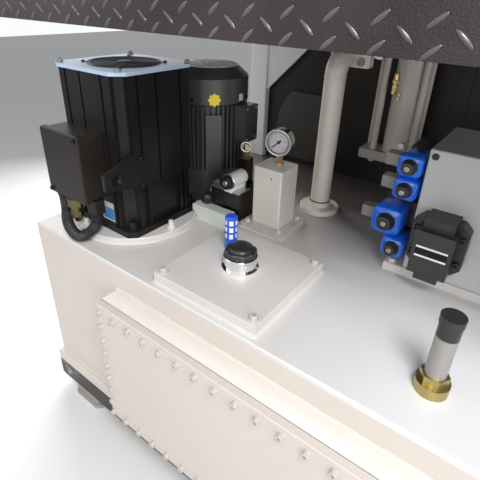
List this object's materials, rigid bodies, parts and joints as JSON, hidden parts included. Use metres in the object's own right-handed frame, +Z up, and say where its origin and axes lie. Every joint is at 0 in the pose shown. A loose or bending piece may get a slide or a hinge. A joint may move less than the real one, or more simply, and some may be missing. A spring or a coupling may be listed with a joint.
{
  "type": "hydraulic power unit base of a vertical injection molding machine",
  "caption": "Floor-standing oil tank of a vertical injection molding machine with servo motor, pump motor, filler, pressure gauge, stand pipe, solenoid valves and tread-plate deck",
  "frame": {"origin": "on the floor, under the middle levelling mount of the front rail", "axes": "+X along the front wall to the right, +Y to the back, +Z up"},
  "size_m": [1.43, 0.999, 1.16],
  "materials": {
    "cream_paint": "semi-gloss",
    "deck_black": "satin",
    "servo_black": "satin",
    "servo_lid_blue": "gloss",
    "motor_grey": "semi-gloss",
    "black_plastic": "matte",
    "black_rubber": "matte",
    "rail_black": "satin",
    "foot_grey": "satin",
    "brass": "satin",
    "chrome": "polished",
    "aluminium": "satin",
    "breather_blue": "gloss",
    "coil_blue": "gloss",
    "dial_white": "matte",
    "valve_black": "satin",
    "plug_grey": "semi-gloss",
    "light_steel": "semi-gloss",
    "guard_black": "satin",
    "zinc_yellow": "satin"
  },
  "bodies": {
    "unit": {"levelling_mounts": "foot_grey", "base_rails": "rail_black", "bottom_plate": "cream_paint", "tank_shell": "cream_paint", "tank_top": "cream_paint", "mounting_pads": "cream_paint", "cleanout_frame": "cream_paint", "cleanout_cover": "cream_paint", "servo_body": "servo_black", "servo_cowl": "servo_black", "servo_lid": "servo_lid_blue", "servo_fan_grille": "black_plastic", "servo_terminal_box": "servo_black", "servo_cable_gland": "brass", "servo_cable": "black_rubber", "servo_lifting_lugs": "servo_black", "pump_motor_body": "motor_grey", "pump_motor_cowl": "motor_grey", "pump_motor_terminal_box": "motor_grey", "filler_plate": "cream_paint", "filler_neck": "chrome", "filler_cap": "black_plastic", "air_breather": "breather_blue", "gauge_post": "cream_paint", "gauge_stem": "brass", "gauge_case": "chrome", "gauge_dial": "dial_white", "valve_block": "valve_black", "valve_solenoid": "aluminium", "relief_valve": "brass", "steel_block": "light_steel", "standpipe": "cream_paint", "manifold_block": "light_steel", "valve_bodies": "valve_black", "solenoid_coils": "coil_blue", "coil_nuts": "black_plastic", "coil_plugs": "plug_grey", "directional_valve": "valve_black", "union_fitting": "zinc_yellow", "deck_plate": "deck_black", "deck_skirt": "deck_black", "deck_columns": "cream_paint", "rear_guard": "guard_black", "hanging_cylinder": "aluminium"},
    "cooling_fan": {"servo_fan": "black_plastic"}
  },
  "joints": [
    {"name": "fan_spin", "type": "hinge", "parent": "unit", "child": "cooling_fan", "pos_m": [-0.53, 0.178, 0.971], "axis": [0, 0, 1], "continuous": true}
  ]
}
